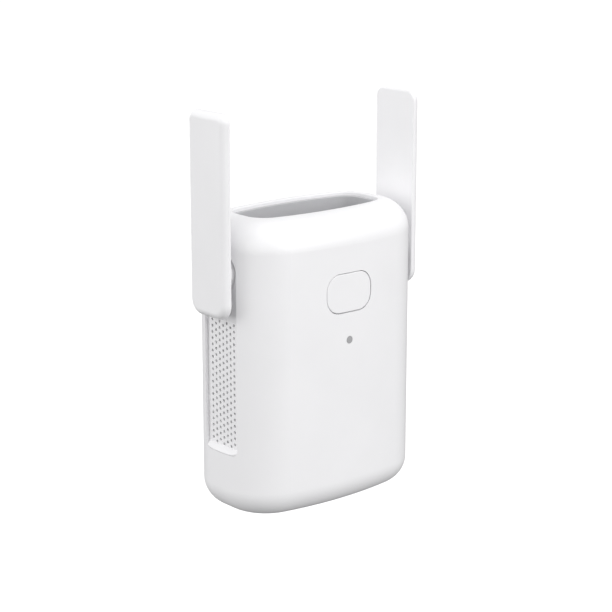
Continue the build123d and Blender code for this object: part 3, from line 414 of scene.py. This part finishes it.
def led_finish(name):
    """The milky resin of the unlit status light."""
    material, nodes, links, shader = new_material(name)
    links.new(clouded(nodes, links, LED_MILKY, 0.06, 1500.0), shader.inputs["Base Color"])
    fine = noise_node(nodes, links, place_node(nodes, links), 3000.0)
    links.new(range_node(nodes, links, fine, 0.22, 0.34), shader.inputs["Roughness"])
    shader.inputs["Subsurface Weight"].default_value = 0.3
    shader.inputs["Subsurface Scale"].default_value = 0.001
    bump_node(nodes, links, shader, fine, 0.2, RESIN_RELIEF)
    return material


def transformer_finish(name):
    """Dark ferrite round a winding that is wrapped in yellow tape, in bands along the core."""
    low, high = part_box("mains_transformer")
    material, nodes, links, shader = new_material(name)
    _, depth, height = axis_nodes(nodes, links)
    core = 0.0021  # height of each core block, with a margin
    middle, half = (low.z + high.z) / 2, (high.z - low.z) / 2 - core
    wound = inside_node(nodes, links, height, middle, half)
    above_foot = math_node(nodes, links, "GREATER_THAN", depth, low.y + 0.0013)
    taped = math_node(nodes, links, "MULTIPLY", wound, above_foot)
    grain = noise_node(nodes, links, place_node(nodes, links), 1800.0, 4.0, 0.65)
    laps = noise_node(nodes, links, place_node(nodes, links, (0.2, 0.2, 1)), 1400.0, 1.0)
    share = range_node(nodes, links, grain, 0.0, 1.0)
    ferrite = mix_node(nodes, links, share, *FERRITE_BLACKS)
    tape = mix_node(nodes, links, range_node(nodes, links, laps, 0.0, 1.0), *TAPE_YELLOWS)
    links.new(mix_node(nodes, links, taped, ferrite, tape), shader.inputs["Base Color"])
    links.new(range_node(nodes, links, grain, 0.35, 0.6), shader.inputs["Roughness"])
    bump_node(nodes, links, shader, grain, 0.4, RIPPLE_RELIEF)
    return material


def capacitor_finish(name):
    """Dark shrink sleeve with a pale polarity stripe, and a bare metal end."""
    low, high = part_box("supply_capacitors")
    material, nodes, links, shader = new_material(name)
    across, _, height = axis_nodes(nodes, links)
    radius = (high.y - low.y) / 2
    reach = high.x - radius
    from_axis = math_node(nodes, links, "SUBTRACT", math_node(nodes, links, "ABSOLUTE", across, 0.0), reach)
    stripe = inside_node(nodes, links, from_axis, -0.75 * radius, 0.22 * radius)
    end = math_node(nodes, links, "GREATER_THAN", height, high.z - 0.0004)
    fine = noise_node(nodes, links, place_node(nodes, links), 1600.0, 3.0)
    share = range_node(nodes, links, fine, 0.0, 1.0)
    sleeve = mix_node(nodes, links, share, *SLEEVE_BLUES)
    striped = mix_node(nodes, links, stripe, sleeve, STRIPE_GREY)
    links.new(mix_node(nodes, links, end, striped, CAN_ALUMINIUM), shader.inputs["Base Color"])
    links.new(end, shader.inputs["Metallic"])
    links.new(range_node(nodes, links, fine, 0.24, 0.36), shader.inputs["Roughness"])
    bump_node(nodes, links, shader, fine, 0.3, SLEEVE_RELIEF)
    return material


def fuse_finish(name):
    """A ceramic fuse tube with plated end caps."""
    low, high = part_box("mains_fuse")
    material, nodes, links, shader = new_material(name)
    across, _, _ = axis_nodes(nodes, links)
    length = high.x - low.x
    tube = inside_node(nodes, links, across, (low.x + high.x) / 2, 0.27 * length)
    cap = math_node(nodes, links, "SUBTRACT", 1.0, tube)
    fine = noise_node(nodes, links, place_node(nodes, links), 2500.0, 4.0)
    share = range_node(nodes, links, fine, 0.0, 1.0)
    ceramic = mix_node(nodes, links, share, *CERAMIC_WHITES)
    links.new(mix_node(nodes, links, cap, ceramic, FUSE_CAP_NICKEL), shader.inputs["Base Color"])
    links.new(cap, shader.inputs["Metallic"])
    links.new(range_node(nodes, links, fine, 0.24, 0.38), shader.inputs["Roughness"])
    bump_node(nodes, links, shader, fine, 0.3, SLEEVE_RELIEF)
    return material


def lead_finish(name):
    """The antenna lead's smooth jacket, with the spiral of its screen faintly showing."""
    material, nodes, links, shader = new_material(name)
    wave = nodes.new("ShaderNodeTexWave")
    wave.inputs["Scale"].default_value = 900.0
    wave.inputs["Distortion"].default_value = 1.5
    links.new(place_node(nodes, links, (1, 0.6, 0.8)), wave.inputs["Vector"])
    spiral = wave.outputs["Fac"]
    links.new(mix_node(nodes, links, spiral, *JACKET_BLACKS), shader.inputs["Base Color"])
    links.new(range_node(nodes, links, spiral, 0.3, 0.42, 0.0, 1.0), shader.inputs["Roughness"])
    bump_node(nodes, links, shader, spiral, 0.3, RIPPLE_RELIEF)
    return material


# ---------------------------------------------------------------- which finish each slot gets
FINISHES = {
    "casing_plastic": lambda name: moulded_plastic(name, CASING_WHITE, 0.36),
    "grille_plastic": lambda name: moulded_plastic(name, GRILLE_WHITE, 0.42),
    # the tray's finish carries painted shade in its darkened grey
    "tray_plastic": lambda name: moulded_plastic(name, TRAY_GREY_WITH_PAINTED_SHADE, 0.5, relief=CUP_RELIEF),
    "antenna_plastic": lambda name: moulded_plastic(name, CASING_WHITE, 0.34),
    "button_plastic": lambda name: moulded_plastic(name, CASING_WHITE, 0.32, grain=4200.0),
    "light_pipe_plastic": light_pipe_finish,
    "plug_insert_plastic": lambda name: moulded_plastic(name, INSERT_WHITE, 0.28),
    "blade_metal": lambda name: brushed_metal(name, BLADE_NICKEL, 0.24, ALONG_Y),
    "contact_spring_metal": lambda name: brushed_metal(name, CONTACT_BRASS, 0.3, ALONG_Z),
    "screw_steel": lambda name: plated_metal(name, SCREW_ZINC, 0.28),
    "clip_steel": lambda name: brushed_metal(name, CLIP_STEEL, 0.34),
    "friction_plastic": lambda name: moulded_plastic(name, RING_BLACK, 0.48, spread=0.05),
    "radio_board_laminate": lambda name: circuit_laminate(name, RADIO_MASK, RADIO_TRACKS, 0.0006, 0.52),
    "mains_board_laminate": lambda name: circuit_laminate(name, MAINS_MASK, MAINS_TRACKS, 0.0024, 0.45),
    "barrier_film": lambda name: soft_sheet(name, BARRIER_FILM, 0.34),
    "shield_metal": lambda name: plated_metal(name, SHIELD_TIN, 0.26),
    "chip_epoxy": lambda name: moulded_plastic(name, CHIP_BLACK, 0.5, grain=5000.0, spread=0.08),
    "thermal_pad_silicone": lambda name: soft_sheet(name, THERMAL_PAD_BLUE, 0.7),
    "heat_sink_metal": lambda name: brushed_metal(name, SINK_ALUMINIUM, 0.36, ALONG_Z),
    "connector_plastic": lambda name: moulded_plastic(name, CONNECTOR_CREAM, 0.42, spread=0.03),
    "jack_plastic": lambda name: moulded_plastic(name, JACK_BLACK, 0.4, spread=0.05),
    "gold_contact": lambda name: brushed_metal(name, CONTACT_GOLD, 0.22, ALONG_Z),
    "lead_jacket": lead_finish,
    "switch_plastic": lambda name: moulded_plastic(name, SWITCH_BLACK, 0.45, spread=0.05),
    "switch_stem_plastic": lambda name: moulded_plastic(name, STEM_CREAM, 0.4),
    "led_resin": led_finish,
    "transformer_ferrite": transformer_finish,
    "capacitor_sleeve": capacitor_finish,
    "fuse_ceramic": fuse_finish,
}


def finish_nodes():
    """Gives every CAD node the finish of its material slot."""
    slots = [material["slot"] for material in frame["record"]["materials"]]
    finishes = {slot: FINISHES[slot](slot) for slot in slots}
    for part in frame["record"]["subparts"]:
        materials = frame["nodes"][part["node"]].data.materials
        materials.clear()
        materials.append(finishes[part["material_slot"]])


# ---------------------------------------------------------------- put it together
finish_nodes()
add_camera()
add_world()
for soft_light in SOFT_LIGHTS:
    add_area_light(*soft_light)
add_floor()

SCENE.view_settings.view_transform = "Standard"
SCENE.view_settings.look = "None"
